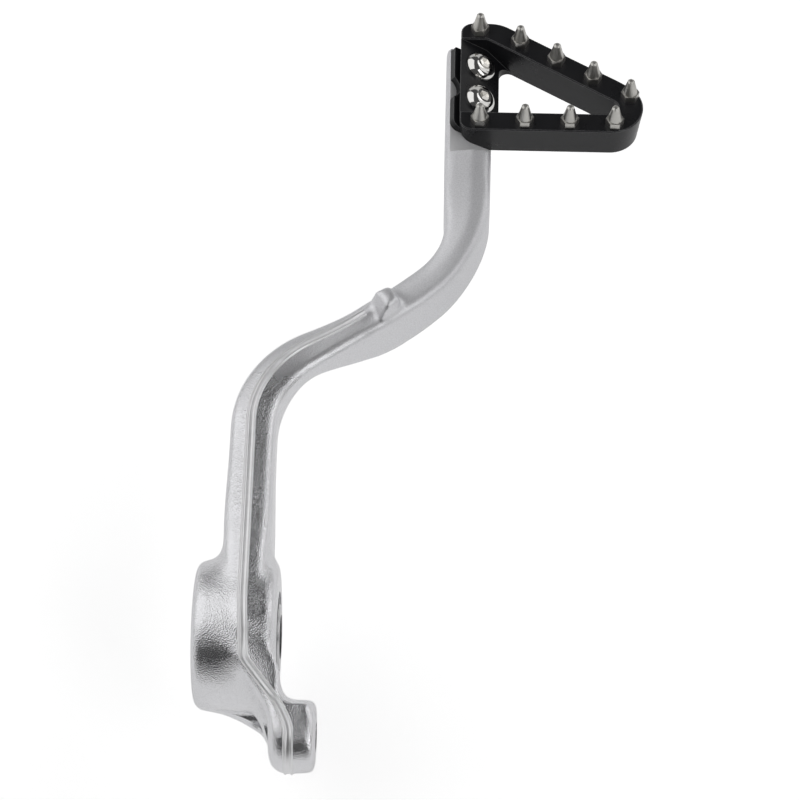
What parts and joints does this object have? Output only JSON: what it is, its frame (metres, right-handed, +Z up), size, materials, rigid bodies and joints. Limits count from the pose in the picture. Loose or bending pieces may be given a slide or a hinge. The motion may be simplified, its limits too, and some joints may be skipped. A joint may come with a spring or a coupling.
{
  "type": "motorbike rear brake pedal",
  "caption": "Forged motorbike rear brake pedal: S-bent lever with a bushed pivot boss, a push-rod boss and a screwed-on black step plate with grip spikes.",
  "frame": {"origin": "on the pivot axis, at the middle of the pivot boss", "axes": "+X outboard along the pivot axis, +Y forward along the motorbike, +Z up"},
  "size_m": [0.1217, 0.2285, 0.0675],
  "materials": {
    "forged_aluminium": "blasted forging",
    "black_anodised": "black anodised",
    "bright_steel": "polished",
    "spike_steel": "turned",
    "ground_steel": "ground",
    "bronze": "sintered",
    "seal_rubber": "moulded"
  },
  "bodies": {
    "pivot": {"pivot_collar": "ground_steel"},
    "pedal": {"lever_forging": "forged_aluminium", "step_plate": "black_anodised", "plate_screw_rear": "bright_steel", "plate_screw_front": "bright_steel", "bush_inboard": "bronze", "bush_outboard": "bronze", "dust_seal_inboard": "seal_rubber", "dust_seal_outboard": "seal_rubber", "spike_lower_1": "spike_steel", "spike_lower_2": "spike_steel", "spike_lower_3": "spike_steel", "spike_lower_4": "spike_steel", "spike_upper_1": "spike_steel", "spike_upper_2": "spike_steel", "spike_upper_3": "spike_steel", "spike_upper_4": "spike_steel", "spike_upper_5": "spike_steel"}
  },
  "joints": [
    {"name": "pedal_swing", "type": "hinge", "parent": "pivot", "child": "pedal", "pos_m": [0, 0, 0], "axis": [1, 0, 0], "range_deg": [-18, 0], "stiffness_Nm_per_rad": 0.45, "springref_deg": 25.78}
  ]
}
